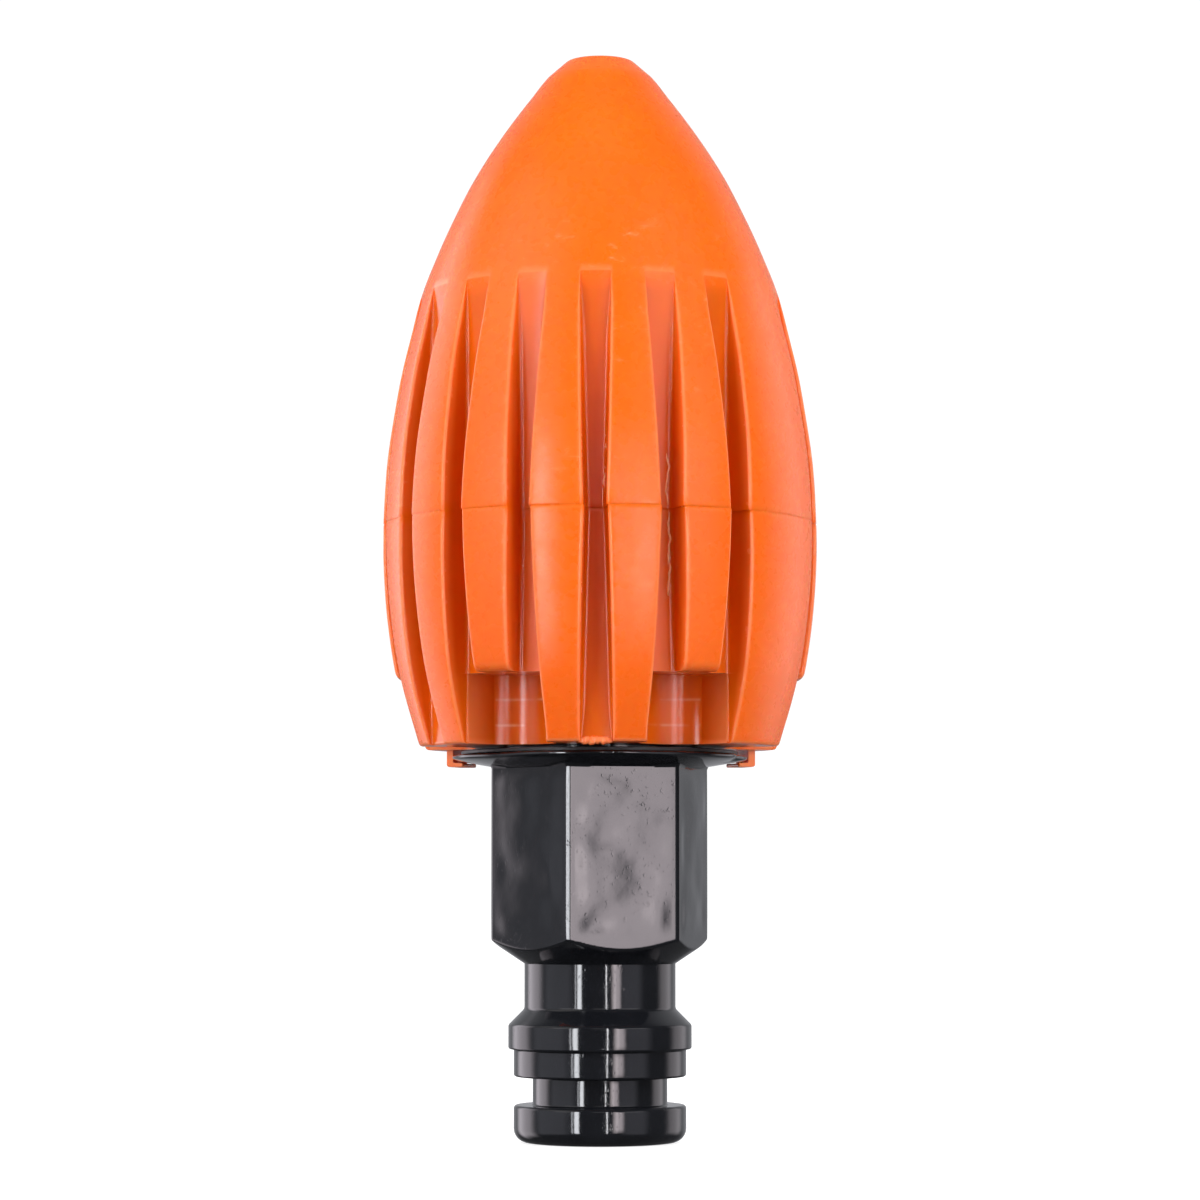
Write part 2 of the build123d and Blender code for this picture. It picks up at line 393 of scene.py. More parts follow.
def phis_of(ring):
    return [math.degrees(math.atan2(p[0], -p[1])) for p in ring]


# ----------------------------------------------------------------------------
# rear shell
# ----------------------------------------------------------------------------
def build_rear():
    rings = []
    z_out = []
    # from the seam down to the pocket's ceiling
    top = SEAM_Z
    stations = [top, top - 0.05, top - 0.14, top - 0.4]
    z = top - 0.9
    while z > POCKET_TOP + 1.6:
        stations.append(z)
        z -= 0.42
    stations += [POCKET_TOP + d for d in (1.2, 0.9, 0.65, 0.45, 0.3, 0.18, 0.09, 0.03, 0.0)]

    def params(z):
        t = (SEAM_Z - z) / (SEAM_Z - BASE_Z)
        return (catmull(OUTER_LOW, z), lerp(FLOOR_SEAM_R, FLOOR_END_R, t), lerp(HALF_SEAM, HALF_BASE, t))

    for z in stations:
        r_out, r_floor, half = params(z)
        if z > top - 0.2:      # the seam's edge is a little rounded
            d = 1 - (top - z) / 0.2
            r_out -= 0.07 * d * d
            r_floor -= 0.05 * d * d
        short_out = r_out
        h = z - POCKET_TOP
        rr = 0.75
        if h < rr:             # lower end of the short fins is rounded
            short_out = r_out - rr * 0.8 * (1 - math.sqrt(max(0, 1 - (1 - h / rr) ** 2)))
        rings.append(section(z, r_out, r_floor, half, False, short_out, seed=2.0))
    # pocket below the ceiling
    low = [POCKET_TOP, POCKET_TOP - 0.02, POCKET_TOP - 0.12, POCKET_TOP - 0.3]
    z = POCKET_TOP - 0.7
    while z > BASE_Z + 0.9:
        low.append(z)
        z -= 0.42
    low += [BASE_Z + d for d in (0.75, 0.5, 0.32, 0.2, 0.1, 0.04, 0.0)]
    for i, z in enumerate(low):
        r_out, r_floor, half = params(z)
        h = z - BASE_Z
        if h < 0.4:
            r_out -= 0.38 * (1 - math.sqrt(max(0, 1 - (1 - h / 0.4) ** 2)))
        if h < 0.2:
            r_floor -= 0.14 * (1 - h / 0.2)
        rings.append(section(z, r_out, r_floor, half, True, None, seed=2.0))
    # base face inwards, bore, chamber and back to the seam
    outline = rings[-1]
    phis = phis_of(outline)
    rads = [math.hypot(p[0], p[1]) for p in outline]
    land = np.array([(*polar(min(r - 0.0, 15.6) if r > 13 else r - 0.25, p), BASE_Z) for r, p in zip(rads, phis)])
    inner = circle_like(0, 11.05, BASE_Z, phis)
    rings.append(np.array([lerp(np.array(o), np.array(l), 0.5) for o, l in zip(outline, land)]))
    rings.append(land)
    rings.append(inner)
    for r, z in ((HEAD_BORE_R + 0.35, BASE_Z), (HEAD_BORE_R, BASE_Z + 0.35), (HEAD_BORE_R, 45.1),
                 (HEAD_BORE_R + 0.5, 45.6), (13.3, 45.6), (13.9, 46.2), (14.2, 53.6), (14.2, SEAM_Z)):
        rings.append(circle_like(0, r, z, phis))
    obj = grid_mesh("rear_shell_skin", rings, closed_loop=True)
    return obj, phis


def build_nose():
    rings = []
    turn = -0.28
    stations = [SEAM_Z, SEAM_Z + 0.05, SEAM_Z + 0.14, SEAM_Z + 0.4]
    z = SEAM_Z + 0.9
    while z < GROOVE_END_Z - 1.0:
        stations.append(z)
        z += 0.56
    stations += [GROOVE_END_Z - d for d in (0.75, 0.5, 0.3, 0.15, 0.05)]
    for z in stations:
        t = (z - SEAM_Z) / (GROOVE_END_Z - SEAM_Z)
        r_out = catmull(OUTER_UP, z)
        r_floor = lerp(FLOOR_SEAM_R + 0.05, FLOOR_END_R, t)
        half = lerp(HALF_SEAM - 0.1, HALF_NOSE, t)
        if z < SEAM_Z + 0.2:
            d = 1 - (z - SEAM_Z) / 0.2
            r_out -= 0.05 * d * d
            r_floor -= 0.03 * d * d
        rings.append(section(z, r_out, min(r_floor, r_out), half, turn=turn, seed=5.0))
    z = GROOVE_END_Z + 0.06
    while z < 98.2:
        rings.append(section(z, catmull(OUTER_UP, z), 0, 3, turn=turn, floors=False, seed=5.0))
        z += 0.66 if z < 92 else 0.42
    phis = phis_of(rings[0])
    even = phis_of(rings[-1])
    # rounded edge of the flat tip, then the jet's mouth and the chamber
    tip = rounded_profile([(catmull(OUTER_UP, 98.3), 98.3), (3.62, 99.36), (3.0, TIP_Z), (1.62, TIP_Z),
                           (1.30, TIP_Z - 0.32), (1.30, 96.6), (2.4, 95.6)],
                          [0, 1.2, 0.75, 0.12, 0.15, 0.2, 0], 6)
    for r, z in tip:
        rings.append(circle_like(0, r, z, even))
    for r, z in ((4.4, 93.6), (7.1, 89.8), (9.7, 85.0), (11.7, 79.5), (12.9, 74.0), (13.45, 68.0),
                 (13.7, 60.5), (12.9, SEAM_Z + 1.6), (12.9, SEAM_Z - 2.2), (14.12, SEAM_Z - 2.2), (14.12, SEAM_Z)):
        rings.append(circle_like(0, r, z, even))
    return grid_mesh("nose_shell_skin", rings, closed_loop=True)


def solid_from(name, verts, faces):
    mesh = bpy.data.meshes.new(name)
    mesh.from_pydata([tuple(c * MM for c in v) for v in verts], [], faces)
    mesh.update()
    obj = bpy.data.objects.new(name, mesh)
    bpy.context.scene.collection.objects.link(obj)
    return obj


def prism(outline, z0, z1, verts, faces):
    """Adds an upright prism with the given outline (x, y in mm) to verts and faces."""
    base = len(verts)
    n = len(outline)
    verts += [(x, y, z0) for x, y in outline] + [(x, y, z1) for x, y in outline]
    faces.append(tuple(base + i for i in range(n))[::-1])
    faces.append(tuple(base + n + i for i in range(n)))
    for i in range(n):
        j = (i + 1) % n
        faces.append((base + i, base + j, base + n + j, base + n + i))


def boolean(obj, other, operation):
    mod = obj.modifiers.new("cut", "BOOLEAN")
    mod.object = other
    mod.operation = operation
    mod.solver = "MANIFOLD"
    bpy.context.view_layer.update()
    dg = bpy.context.evaluated_depsgraph_get()
    mesh = bpy.data.meshes.new_from_object(obj.evaluated_get(dg))
    obj.modifiers.remove(mod)
    old = obj.data
    obj.data = mesh
    bpy.data.meshes.remove(old)
    bpy.data.objects.remove(other)


def local_frame(phi):
    """Radial and tangential unit vectors at phi."""
    a = math.radians(phi)
    return (math.sin(a), -math.cos(a)), (math.cos(a), math.sin(a))


def jet_cutter():
    verts, faces = [], []
    for a in JET_PHI:
        cx, cy = polar(JET_RING_R, a)
        ring = [(cx + JET_R * math.cos(t * PI / 12), cy + JET_R * math.sin(t * PI / 12)) for t in range(24)]
        prism(ring, POCKET_TOP - 1.2, 45.9, verts, faces)
    return solid_from("jets", verts, faces)


def duct_cutter():
    verts, faces = [], []
    for a in JET_PHI:
        rad, tan = local_frame(a)
        ring = []
        for t in range(-6, 7):
            b = t * PI / 12
            u, v = JET_RING_R + 1.3 * math.cos(b), 1.3 * math.sin(b)
            ring.append((rad[0] * u + tan[0] * v, rad[1] * u + tan[1] * v))
        for u, v in ((12.9, 1.3), (12.9, -1.3)):
            ring.append((rad[0] * u + tan[0] * v, rad[1] * u + tan[1] * v))
        prism(ring, 45.6, 54.2, verts, faces)
    return solid_from("ducts", verts, faces)


HOOK_PHI = (112, 248)


def hook_solids():
    """Two L-shaped hooks: a leg outside the flange's rim and a foot that reaches under it."""
    verts, faces = [], []
    z_bot, z_foot = 34.46, 34.84
    for a in HOOK_PHI:
        rad, tan = local_frame(a)
        prof = rounded_profile([(14.22, BASE_Z + 0.45), (14.22, z_foot), (13.20, z_foot - 0.04), (13.20, z_bot),
                                (14.92, z_bot), (14.92, BASE_Z + 0.45)],
                               [0, 0.14, 0.11, 0.12, 0.26, 0], 4)
        n = len(prof)
        stations = [(-1.50, 0.14), (-1.42, 0.04), (-1.30, 0.0), (-0.5, 0.0), (0.5, 0.0), (1.30, 0.0),
                    (1.42, 0.04), (1.50, 0.14)]
        base = len(verts)
        mid = (14.3, 35.0)
        for w, inset in stations:
            for r, z in prof:
                rr = r + (mid[0] - r) * inset * 0.5
                zz = z + (mid[1] - z) * inset * 0.35 if z < BASE_Z else z
                wob = 0.02 * math.sin(3.1 * w + r * 2)
                verts.append((rad[0] * (rr + wob) + tan[0] * w, rad[1] * (rr + wob) + tan[1] * w, zz))
        for i in range(len(stations) - 1):
            for j in range(n):
                k = (j + 1) % n
                faces.append((base + i * n + j, base + i * n + k, base + (i + 1) * n + k, base + (i + 1) * n + j))
        faces.append(tuple(base + j for j in range(n))[::-1])
        faces.append(tuple(base + (len(stations) - 1) * n + j for j in range(n)))
    return solid_from("hooks", verts, faces)


def gate_remnant():
    """Torn flash at the foot of the front groove."""
    verts, faces = [], []
    cols, rows = 25, 10
    for i in range(cols):
        u = -1 + 2 * i / (cols - 1)
        w = u * 1.50
        swell = (1 - abs(u) ** 3)
        tear = 0.5 + 0.5 * noise.noise(Vector((i * 0.37, 4.2, 1.0))) + 0.35 * noise.noise(Vector((i * 0.9, 1.2, 7.0)))
        low = BASE_Z - 0.10 - 0.34 * tear * swell
        high = BASE_Z + 0.30 + 0.32 * swell * (0.6 + 0.6 * noise.noise(Vector((i * 0.5, 9.0, 2.0))))
        out = 16.55 + 0.30 * swell * (0.7 + 0.5 * noise.noise(Vector((i * 0.45, 2.0, 5.0))))
        back = 15.7
        ring = []
        for j in range(rows):
            t = 2 * PI * j / rows
            cz, cr = math.sin(t), math.cos(t)
            z = (low + high) / 2 + (high - low) / 2 * (abs(cz) ** 0.8) * (1 if cz > 0 else -1)
            r = (out + back) / 2 + (out - back) / 2 * (abs(cr) ** 0.7) * (1 if cr > 0 else -1)
            r += 0.05 * noise.noise(Vector((i * 0.8, j * 1.1, 3.0)))
            ring.append((w, r, z))
        for w_, r, z in ring:
            verts.append((w_ - 0.12, -r, z))
    for i in range(cols - 1):
        for j in range(rows):
            k = (j + 1) % rows
            faces.append((i * rows + j, i * rows + k, (i + 1) * rows + k, (i + 1) * rows + j))
    faces.append(tuple(range(rows))[::-1])
    faces.append(tuple((cols - 1) * rows + j for j in range(rows)))
    return solid_from("remnant", verts, faces)


THREAD_POINTS = []
THREAD_TREE = []


def thread(path, radius):
    """A thin uneven thread of plastic along a path of (phi, r, z) points in mm and degrees."""
    verts, faces = [], []
    n = 8
    for i, (phi, r, z) in enumerate(path):
        end = min(i, len(path) - 1 - i) / 4
        rho = radius * min(1.0, 0.35 + 0.65 * end) * (1 + 0.35 * noise.noise(Vector((i * 0.7, 3.1, radius))))
        rad, tan = local_frame(phi)
        for t in range(n):
            a = 2 * PI * t / n
            u, v = r + rho * math.cos(a), rho * math.sin(a)
            verts.append((rad[0] * u + tan[0] * v, rad[1] * u + tan[1] * v, z))
    for i in range(len(path) - 1):
        for t in range(n):
            k = (t + 1) % n
            faces.append((i * n + t, i * n + k, (i + 1) * n + k, (i + 1) * n + t))
    faces.append(tuple(range(n))[::-1])
    faces.append(tuple((len(path) - 1) * n + t for t in range(n)))
    THREAD_POINTS.extend(Vector(v) * MM for v in verts)
    return solid_from("thread", verts, faces)


def flash_path(phi, z0, z1, r_off, sway):
    out = []
    for i in range(41):
        z = z0 + (z1 - z0) * i / 40
        t = abs(z - SEAM_Z) / (SEAM_Z - BASE_Z)
        r = lerp(FLOOR_SEAM_R, FLOOR_END_R, t) + r_off
        out.append((phi + sway * noise.noise(Vector((z * 0.55, phi, 0.0))) + 0.35 * sway * noise.noise(Vector((z * 1.9, phi, 5.0))), r, z))
    return out


def closed_up(obj, merge=2e-6):
    """Merges doubled points and points the faces outwards, so that the mesh is a closed solid."""
    import bmesh
    bm = bmesh.new()
    bm.from_mesh(obj.data)
    bmesh.ops.remove_doubles(bm, verts=bm.verts, dist=merge)
    bmesh.ops.dissolve_degenerate(bm, dist=merge, edges=bm.edges)
    bmesh.ops.recalc_face_normals(bm, faces=bm.faces)
    bm.to_mesh(obj.data)
    bm.free()


def outer_radius(z):
    return catmull(OUTER_LOW, z) if z < SEAM_Z else catmull(OUTER_UP, z)


def thread_mask(co):
    """1 on the threads of flash, which the material lightens as a painted highlight."""
    if not THREAD_TREE:
        tree = kdtree.KDTree(len(THREAD_POINTS))
        for k, point in enumerate(THREAD_POINTS):
            tree.insert(point, k)
        tree.balance()
        THREAD_TREE.append(tree)
    return 1.0 if THREAD_TREE[0].find(co)[2] < 3e-6 else 0.0


def pocket_mask(co):
    """1 on the pockets' walls."""
    z = co.z / MM
    r = math.hypot(co.x, co.y) / MM
    return 1.0 if (z < POCKET_TOP and 11.2 < r < 13.2 and z > BASE_Z) else 0.0


def head_depth(co):
    """0 on the fins' outer faces and the nose, 1 in the grooves and pockets."""
    z = co.z / MM
    r = math.hypot(co.x, co.y) / MM
    if z > GROOVE_END_Z + 0.3 or z < BASE_Z - 0.2:
        return 0.0
    gap = outer_radius(min(max(z, 36.4), 99)) - r
    return smooth((gap - 0.12) / 0.35)


# ----------------------------------------------------------------------------
# stem
# ----------------------------------------------------------------------------
HEX_A = 8.90
HEX_CORNER = 10.155      # distance of the worn corners from the axis
HEX_SOFT = 0.012
HEX_TURN = 14.60
HEX_TOP = 34.20


def hex_radius(phi):
    """Radius of the hexagon at phi (degrees), flats' normals at HEX_TURN + 60 k; the corners
    are worn to narrow flats."""
    local = (phi - HEX_TURN) % 60
    if local > 30:
        local = 60 - local
    flat = HEX_A / math.cos(math.radians(local))
    worn = HEX_CORNER / math.cos(math.radians(30 - local))
    d = flat - worn
    return 0.5 * (flat + worn) - 0.5 * math.sqrt(d * d + HEX_SOFT ** 2)


def stem_phis():
    out = []
    for k in range(6):
        c = HEX_TURN + 60 * k
        for i in range(30):
            out.append(c - 26.6 + 53.2 * i / 29)
        for i in range(1, 28):
            out.append(c + 26.6 + 6.8 * i / 28)
    return sorted(p % 360 for p in out)


def build_stem():
    phis = stem_phis()
    rings = []
    bore = 4.75

    def ring(fr, z):
        out = []
        for p in phis:
            r = fr(p) if callable(fr) else fr
            out.append((*polar(r, p), z(p) if callable(z) else z))
        return np.array(out)

    # outside from the inlet up: end face, lands, groove, collar, cone, neck
    prof = rounded_profile(
        [(bore + 0.3, 0.0), (7.90, 0.0), (7.90, 3.42), (6.17, 3.42), (6.17, 6.00), (7.90, 6.00),
         (7.90, 8.50), (8.41, 8.50), (8.41, 10.72), (6.94, 12.20), (6.94, 16.30)],
        [0, 1.30, 0.30, 0.18, 0.18, 0.24, 0.16, 0.22, 0.36, 0.5, 0], 6)
    prof = subdivide_profile(prof, 0.55)
    for r, z in prof:
        rings.append(ring(r, z))
    # cone into the hexagon
    z_cone0, z_cone1, r_cone1 = 16.30, 18.68, 10.50
    z = z_cone0 + 0.06
    zs = []
    while z < 19.2:
        zs.append(z)
        z += 0.11
    while z < HEX_TOP - 0.3:
        zs.append(z)
        z += 0.30
    zs += [HEX_TOP - 0.2, HEX_TOP - 0.1]
    for z in zs:
        cone = 6.94 + (r_cone1 - 6.94) * (z - z_cone0) / (z_cone1 - z_cone0)

        def fr(p, z=z, cone=cone):
            h = hex_radius(p)
            k = 0.10
            d = cone - h
            m = 0.5 * (cone + h) - 0.5 * math.sqrt(d * d + k * k)
            if z > 18.0:
                # moulded faces: shallow sink and fine unevenness, none at the edges
                local = (p - HEX_TURN) % 60
                if local > 30:
                    local = 60 - local
                edge = smooth((27.0 - local) / 9)
                ends = smooth((z - 18.2) / 2.2) * smooth((HEX_TOP - z) / 1.6)
                x, y = polar(h, p)
                face = round((p - HEX_TURN) / 60) % 6
                crown = {0: 0.015, 5: 0.12}.get(face, 0.06) * (1 - (local / 30) ** 2) * ends
                lumps = (0.115 * noise3(x, y, z * 1.15, 0.17, 12.0) + 0.055 * noise3(x, y, z * 1.1, 0.34, 57.0)
                         + 0.005 * noise3(x, y, z, 1.1, 8.0))
                m += crown + lumps * edge * ends
            return m
        rings.append(ring(fr, z))
    # root of the flange: hexagon runs into the flange's underside
    under0, under1 = HEX_TOP, 35.00

    def under(r):
        return under0 + (under1 - under0) * max(0.0, (r - 9.2)) / (FLANGE_R - 9.2)

    def rim_wave(p):
        a = math.radians(p)
        w = 0.10 * math.sin(2 * a + 0.8) + 0.06 * math.sin(5 * a + 2.1) + 0.035 * math.sin(11 * a + 0.4)
        return w * 0.35

    def rim_r(p):
        """The flange's outline: slightly out of round, with a cut at the right and a nick in front."""
        q = ((p + 180) % 360) - 180
        r = FLANGE_R - 0.10 + 0.06 * math.sin(math.radians(3 * p + 40)) + 0.03 * math.sin(math.radians(9 * p))
        cut = math.exp(-((q - 78) / 7.0) ** 2)
        r -= 0.75 * cut
        r -= 0.30 * math.exp(-((q - 4.5) / 1.1) ** 2)
        return r

    for f in (0.02, 0.15, 0.35, 0.6, 0.85):
        def fr(p, f=f):
            h = hex_radius(p)
            return lerp(h + 0.05, rim_r(p), f)

        def fz(p, f=f):
            r = lerp(hex_radius(p) + 0.05, rim_r(p), f)
            return under(r) + rim_wave(p) * f
        rings.append(ring(fr, fz))
    for dr, dz in ((0.08, 0.01), (0.02, 0.05), (0.0, 0.12), (0.0, 0.22), (0.04, 0.29), (0.12, 0.33)):
        rings.append(ring(lambda p, dr=dr: rim_r(p) - dr,
                          lambda p, dz=dz: under1 + dz + rim_wave(p)))
    rings.append(ring(lambda p: 12.4, FLANGE_TOP))
    rings.append(ring(lambda p: 9.0, FLANGE_TOP))
    inner = rounded_profile([(9.0, FLANGE_TOP), (9.0, 37.9), (7.5, 37.9), (7.5, 40.3), (9.0, 40.3),
                             (9.0, SPIGOT_TOP - 0.9), (8.4, SPIGOT_TOP), (bore + 0.9, SPIGOT_TOP),
                             (bore, SPIGOT_TOP - 1.4), (bore, 0.3), (bore + 0.3, 0.0)],
                            [0, 0.1, 0.15, 0.15, 0.1, 0.2, 0.2, 0.1, 0.3, 0, 0], 3)[1:-1]
    for r, z in subdivide_profile(inner, 4.0):
        rings.append(ring(r, z))
    obj = grid_mesh("hose_stem_skin", rings, closed_loop=True)
    return obj


def build_washer():
    phis = [i * 360 / 160 for i in range(160)]
    prof = rounded_profile([(9.1, FLANGE_TOP + 0.02), (WASHER_R, FLANGE_TOP + 0.02), (WASHER_R, WASHER_TOP),
                            (9.1, WASHER_TOP)], [0, 0.1, 0.1, 0], 4)
    rings = []
    for r, z in prof:
        rings.append(np.array([(*polar(r if r < 10 else r + 0.05 * math.sin(math.radians(3 * p)) - 0.05, p), z)
                               for p in phis]))
    return grid_mesh("flange_washer_skin", rings, closed_loop=True)


def build_o_ring():
    phis = [i * 2.5 for i in range(144)]
    mid = (7.5 + 9.02) / 2
    rings = []
    for i in range(24):
        a = 2 * PI * i / 24
        r = mid + 0.76 * math.cos(a)
        z = 39.1 + 1.02 * math.sin(a)
        rings.append(np.array([(*polar(r, p), z) for p in phis]))
    return grid_mesh("spigot_o_ring_skin", rings, closed_loop=True)


# ----------------------------------------------------------------------------
# materials
# ----------------------------------------------------------------------------
def new_material(name):
    m = bpy.data.materials.new(name)
    m.use_nodes = True
    nt = m.node_tree
    nt.nodes.clear()
    out = nt.nodes.new("ShaderNodeOutputMaterial")
    bsdf = nt.nodes.new("ShaderNodeBsdfPrincipled")
    nt.links.new(bsdf.outputs[0], out.inputs[0])
    return m, nt, bsdf


def node(nt, kind, **values):
    n = nt.nodes.new(kind)
    for k, v in values.items():
        setattr(n, k, v)
    return n


def tex_noise(nt, vec, scale, detail=2.0, rough=0.5, distortion=0.0):
    n = node(nt, "ShaderNodeTexNoise")
    n.inputs["Scale"].default_value = scale
    n.inputs["Detail"].default_value = detail
    n.inputs["Roughness"].default_value = rough
    n.inputs["Distortion"].default_value = distortion
    nt.links.new(vec, n.inputs["Vector"])
    return n


def ramp(nt, src, stops):
    r = node(nt, "ShaderNodeValToRGB")
    while len(r.color_ramp.elements) < len(stops):
        r.color_ramp.elements.new(0.5)
    for e, (pos, col) in zip(r.color_ramp.elements, stops):
        e.position = pos
        e.color = (*col, 1) if len(col) == 3 else col
    nt.links.new(src, r.inputs[0])
    return r


def math_node(nt, op, a, b=None):
    n = node(nt, "ShaderNodeMath", operation=op)
    for i, v in enumerate((a, b)):
        if v is None:
            continue
        if isinstance(v, (int, float)):
            n.inputs[i].default_value = v
        else:
            nt.links.new(v, n.inputs[i])
    return n.outputs[0]


def orange_material():
    m, nt, bsdf = new_material("orange_plastic")
    tc = node(nt, "ShaderNodeTexCoord")
    vec = tc.outputs["Object"]
    inner = node(nt, "ShaderNodeAttribute", attribute_name="inner").outputs["Fac"]
    thin = node(nt, "ShaderNodeAttribute", attribute_name="thread").outputs["Fac"]
    pocket = node(nt, "ShaderNodeAttribute", attribute_name="pocket").outputs["Fac"]
    edge = node(nt, "ShaderNodeAttribute", attribute_name="edge").outputs["Fac"]
    big = tex_noise(nt, vec, 70, 3)
    base = ramp(nt, big.outputs["Fac"], [(0.25, (0.80, 0.114, 0.0014)), (0.75, (0.86, 0.132, 0.0022))])
    fine = tex_noise(nt, vec, 900, 3)
    # rubbed patches: fine whitish scuffs, most of them on the shoulder above the grooves
    stretch = node(nt, "ShaderNodeMapping")
    stretch.inputs["Scale"].default_value = (1.0, 1.0, 2.6)
    nt.links.new(vec, stretch.inputs["Vector"])
    sc = tex_noise(nt, stretch.outputs[0], 330, 6, 0.68, 1.2)
    scuff = ramp(nt, sc.outputs["Fac"], [(0.60, (0, 0, 0)), (0.70, (1, 1, 1))])
    patch = tex_noise(nt, vec, 95, 1)
    where = ramp(nt, patch.outputs["Fac"], [(0.55, (0, 0, 0)), (0.68, (1, 1, 1))])
    sep = node(nt, "ShaderNodeSeparateXYZ")
    nt.links.new(vec, sep.inputs[0])

    def bell(src, centre, width):
        d = math_node(nt, "SUBTRACT", src, centre)
        d = math_node(nt, "DIVIDE", d, width)
        d = math_node(nt, "MULTIPLY", d, d)
        d = math_node(nt, "MULTIPLY", d, -1.0)
        return math_node(nt, "EXPONENT", d)
    shoulder = math_node(nt, "MULTIPLY", bell(sep.outputs["Z"], 0.0805, 0.0022), bell(sep.outputs["X"], 0.0005, 0.0075))
    mask = math_node(nt, "MAXIMUM", math_node(nt, "MULTIPLY", where.outputs[0], 0.45), shoulder)
    outer = math_node(nt, "SUBTRACT", 1.0, inner)
    amount = math_node(nt, "MULTIPLY", math_node(nt, "MULTIPLY", scuff.outputs[0], mask), outer)
    off_seam = math_node(nt, "SUBTRACT", 1.0, bell(sep.outputs["Z"], SEAM_Z * MM, 0.0007))
    edge = math_node(nt, "MULTIPLY", edge, off_seam)
    # painted highlights: two faint pale glint lines on the pockets' walls, broken into short pieces by the noise mask
    # below
    pocket_glint = math_node(nt, "ADD", bell(sep.outputs["Z"], 0.04005, 0.00011), bell(sep.outputs["Z"], 0.03775, 0.00011))
    worn = ramp(nt, tex_noise(nt, vec, 420, 2).outputs["Fac"], [(0.40, (0, 0, 0)), (0.62, (1, 1, 1))])
    pocket_glint = math_node(nt, "MULTIPLY", math_node(nt, "MULTIPLY", pocket_glint, pocket), worn.outputs[0])
    # pale orange mixed in: real scuffs, plus painted highlights along the fins' sharp edges, on the flash threads and
    # on the pockets' walls
    pale_wear_and_highlight = math_node(nt, "ADD", math_node(nt, "MULTIPLY", amount, 0.60), math_node(nt, "MULTIPLY", edge, 0.20))
    pale_wear_and_highlight = math_node(nt, "ADD", pale_wear_and_highlight, math_node(nt, "ADD", math_node(nt, "MULTIPLY", thin, 0.85),
                                                math_node(nt, "MULTIPLY", pocket_glint, 0.42)))
    pale_wear_and_highlight = math_node(nt, "MINIMUM", pale_wear_and_highlight, 1.0)
    mix = node(nt, "ShaderNodeMix", data_type="RGBA")
    nt.links.new(pale_wear_and_highlight, mix.inputs["Factor"])
    # painted shade: the base colour is darkened, unevenly, in the grooves and pockets
    groove_shade = ramp(nt, tex_noise(nt, vec, 140, 3).outputs["Fac"], [(0.3, (0.78, 0.78, 0.78)), (0.7, (0.86, 0.86, 0.86))])
    groove_shaded_base = node(nt, "ShaderNodeMix", data_type="RGBA", blend_type="MULTIPLY")
    nt.links.new(inner, groove_shaded_base.inputs["Factor"])
    nt.links.new(base.outputs[0], groove_shaded_base.inputs["A"])
    nt.links.new(groove_shade.outputs[0], groove_shaded_base.inputs["B"])
    nt.links.new(groove_shaded_base.outputs["Result"], mix.inputs["A"])
    mix.inputs["B"].default_value = (1.0, 0.52, 0.28, 1)
    nt.links.new(mix.outputs["Result"], bsdf.inputs["Base Color"])
    # the grooves are as moulded, the outer faces are rubbed duller
    rough = ramp(nt, fine.outputs["Fac"], [(0.3, (0.25, 0.25, 0.25)), (0.7, (0.31, 0.31, 0.31))])
    gloss = math_node(nt, "MAXIMUM", inner, math_node(nt, "MULTIPLY", edge, 0.8))
    drop = math_node(nt, "MULTIPLY", gloss, -0.07)
    total = math_node(nt, "ADD", math_node(nt, "ADD", rough.outputs[0], drop),
                      math_node(nt, "MULTIPLY", amount, 0.15))
    nt.links.new(total, bsdf.inputs["Roughness"])
    bsdf.inputs["IOR"].default_value = 1.46
    bsdf.inputs["Subsurface Weight"].default_value = 0.36
    bsdf.inputs["Subsurface Radius"].default_value = (1.0, 0.12, 0.03)
    bsdf.inputs["Subsurface Scale"].default_value = 0.0012
    bump = node(nt, "ShaderNodeBump")
    bump.inputs["Strength"].default_value = 0.05
    bump.inputs["Distance"].default_value = 0.0002
    lump = tex_noise(nt, vec, 260, 4, 0.55)
    h = math_node(nt, "ADD", math_node(nt, "MULTIPLY", lump.outputs["Fac"], 0.5),
                  math_node(nt, "MULTIPLY", amount, -0.6))
    nt.links.new(h, bump.inputs["Height"])
    nt.links.new(bump.outputs[0], bsdf.inputs["Normal"])
    return m


def black_material():
    m, nt, bsdf = new_material("black_plastic")
    tc = node(nt, "ShaderNodeTexCoord")
    vec = tc.outputs["Object"]
    big = tex_noise(nt, vec, 220, 4)
    base = ramp(nt, big.outputs["Fac"], [(0.3, (0.0048, 0.0052, 0.0068)), (0.7, (0.0072, 0.0078, 0.0100))])
    nt.links.new(base.outputs[0], bsdf.inputs["Base Color"])
    fine = tex_noise(nt, vec, 1500, 4)
    rough = ramp(nt, fine.outputs["Fac"], [(0.3, (0.065, 0.065, 0.065)), (0.75, (0.105, 0.105, 0.105))])
    nt.links.new(rough.outputs[0], bsdf.inputs["Roughness"])
    bsdf.inputs["IOR"].default_value = 1.52
    lump = tex_noise(nt, vec, 620, 3, 0.55)
    bump = node(nt, "ShaderNodeBump")
    bump.inputs["Strength"].default_value = 0.06
    bump.inputs["Distance"].default_value = 0.0001
    pit = ramp(nt, tex_noise(nt, vec, 2300, 2, 0.6).outputs["Fac"], [(0.62, (0, 0, 0)), (0.70, (1, 1, 1))])
    where = ramp(nt, tex_noise(nt, vec, 210, 2).outputs["Fac"], [(0.47, (0, 0, 0)), (0.60, (1, 1, 1))])
    pits = math_node(nt, "MULTIPLY", math_node(nt, "MULTIPLY", pit.outputs[0], where.outputs[0]), -1.6)
    nt.links.new(math_node(nt, "ADD", lump.outputs["Fac"], pits), bump.inputs["Height"])
    nt.links.new(bump.outputs[0], bsdf.inputs["Normal"])
    return m


